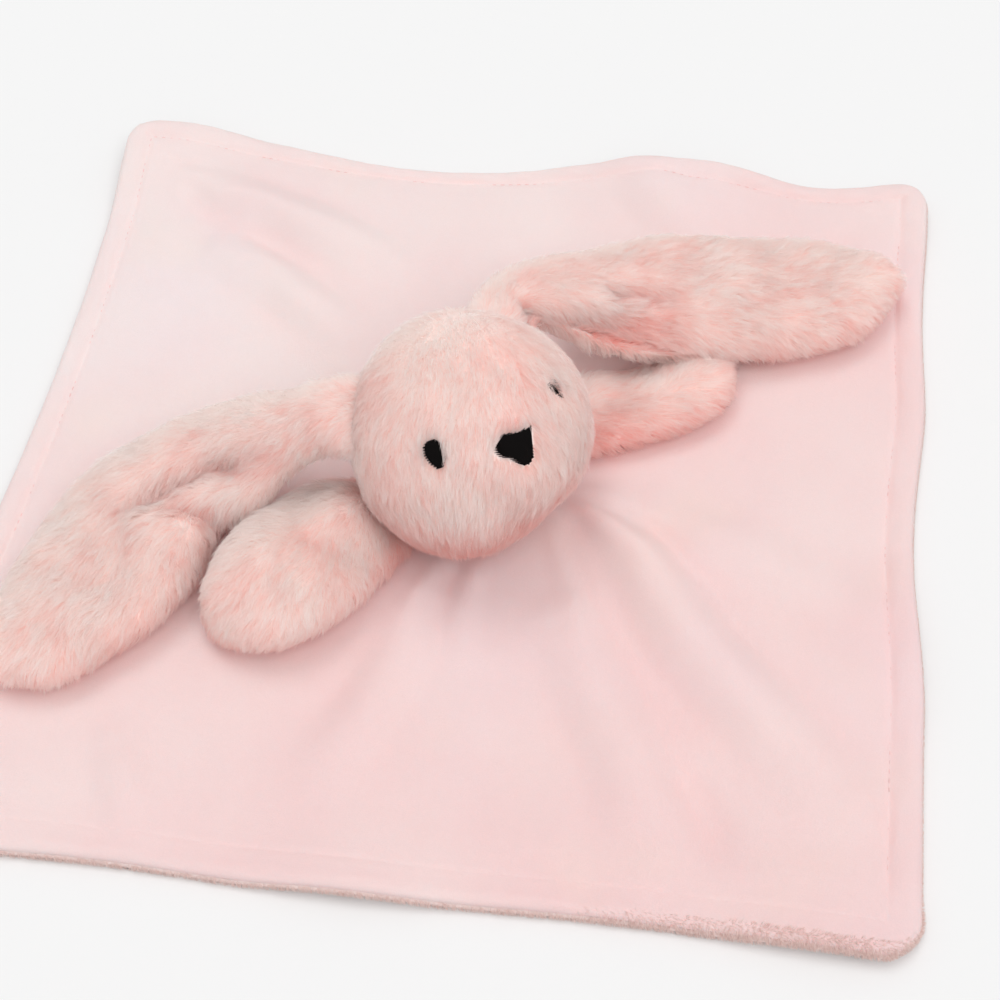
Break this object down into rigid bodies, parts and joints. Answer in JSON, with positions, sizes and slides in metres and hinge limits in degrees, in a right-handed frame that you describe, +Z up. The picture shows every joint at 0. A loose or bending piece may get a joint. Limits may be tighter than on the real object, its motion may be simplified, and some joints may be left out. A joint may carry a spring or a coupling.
{
  "type": "comfort blanket",
  "caption": "Square plush comfort blanket with a stuffed long-eared rabbit head and limp arms sewn to its middle.",
  "frame": {"origin": "middle of the square's footprint, on the surface that it lies on", "axes": "+Z up, X and Y along the square's edges; the rabbit looks towards the corner at +X, -Y"},
  "size_m": [0.34, 0.34, 0.0867],
  "materials": {
    "plush": "long soft pile, matt",
    "velour": "short velour pile, matt",
    "backing_plush": "coarser short pile, matt",
    "filling": "loose fibre",
    "thread": "satin stitch"
  },
  "bodies": {
    "blanket": {"blanket_back": "backing_plush", "blanket_front": "velour", "neck": "plush"},
    "head": {"face_panel_left": "plush", "face_panel_right": "plush", "head_back_panel": "plush", "head_filling": "filling", "eye_left": "thread", "eye_right": "thread", "nose": "thread"},
    "ear_left": {"ear_left_outer_ply": "plush", "ear_left_inner_ply": "plush"},
    "ear_right": {"ear_right_outer_ply": "plush", "ear_right_inner_ply": "plush"},
    "arm_left": {"arm_left_filling": "filling", "arm_left_top_ply": "plush", "arm_left_under_ply": "plush"},
    "arm_right": {"arm_right_filling": "filling", "arm_right_top_ply": "plush", "arm_right_under_ply": "plush"}
  },
  "joints": [
    {"name": "head_nod", "type": "hinge", "parent": "blanket", "child": "head", "pos_m": [0.01721, -0.02457, 0.0055], "axis": [0.8192, 0.5736, 0], "range_deg": [0, 20]},
    {"name": "ear_left_lift", "type": "hinge", "parent": "head", "child": "ear_left", "pos_m": [-0.02701, -0.02297, 0.06221], "axis": [-0.0593, 0.931, 0.3601], "range_deg": [0, 75]},
    {"name": "ear_right_lift", "type": "hinge", "parent": "head", "child": "ear_right", "pos_m": [0.01745, 0.0215, 0.06221], "axis": [0.931, -0.0593, -0.3601], "range_deg": [0, 75]},
    {"name": "arm_left_lift", "type": "hinge", "parent": "blanket", "child": "arm_left", "pos_m": [-0.00978, -0.02244, 0.0058], "axis": [-0.7071, 0.7071, 0], "range_deg": [0, 15]},
    {"name": "arm_right_lift", "type": "hinge", "parent": "blanket", "child": "arm_right", "pos_m": [0.02359, 0.00863, 0.0058], "axis": [0.7071, -0.7071, 0], "range_deg": [0, 15]}
  ]
}
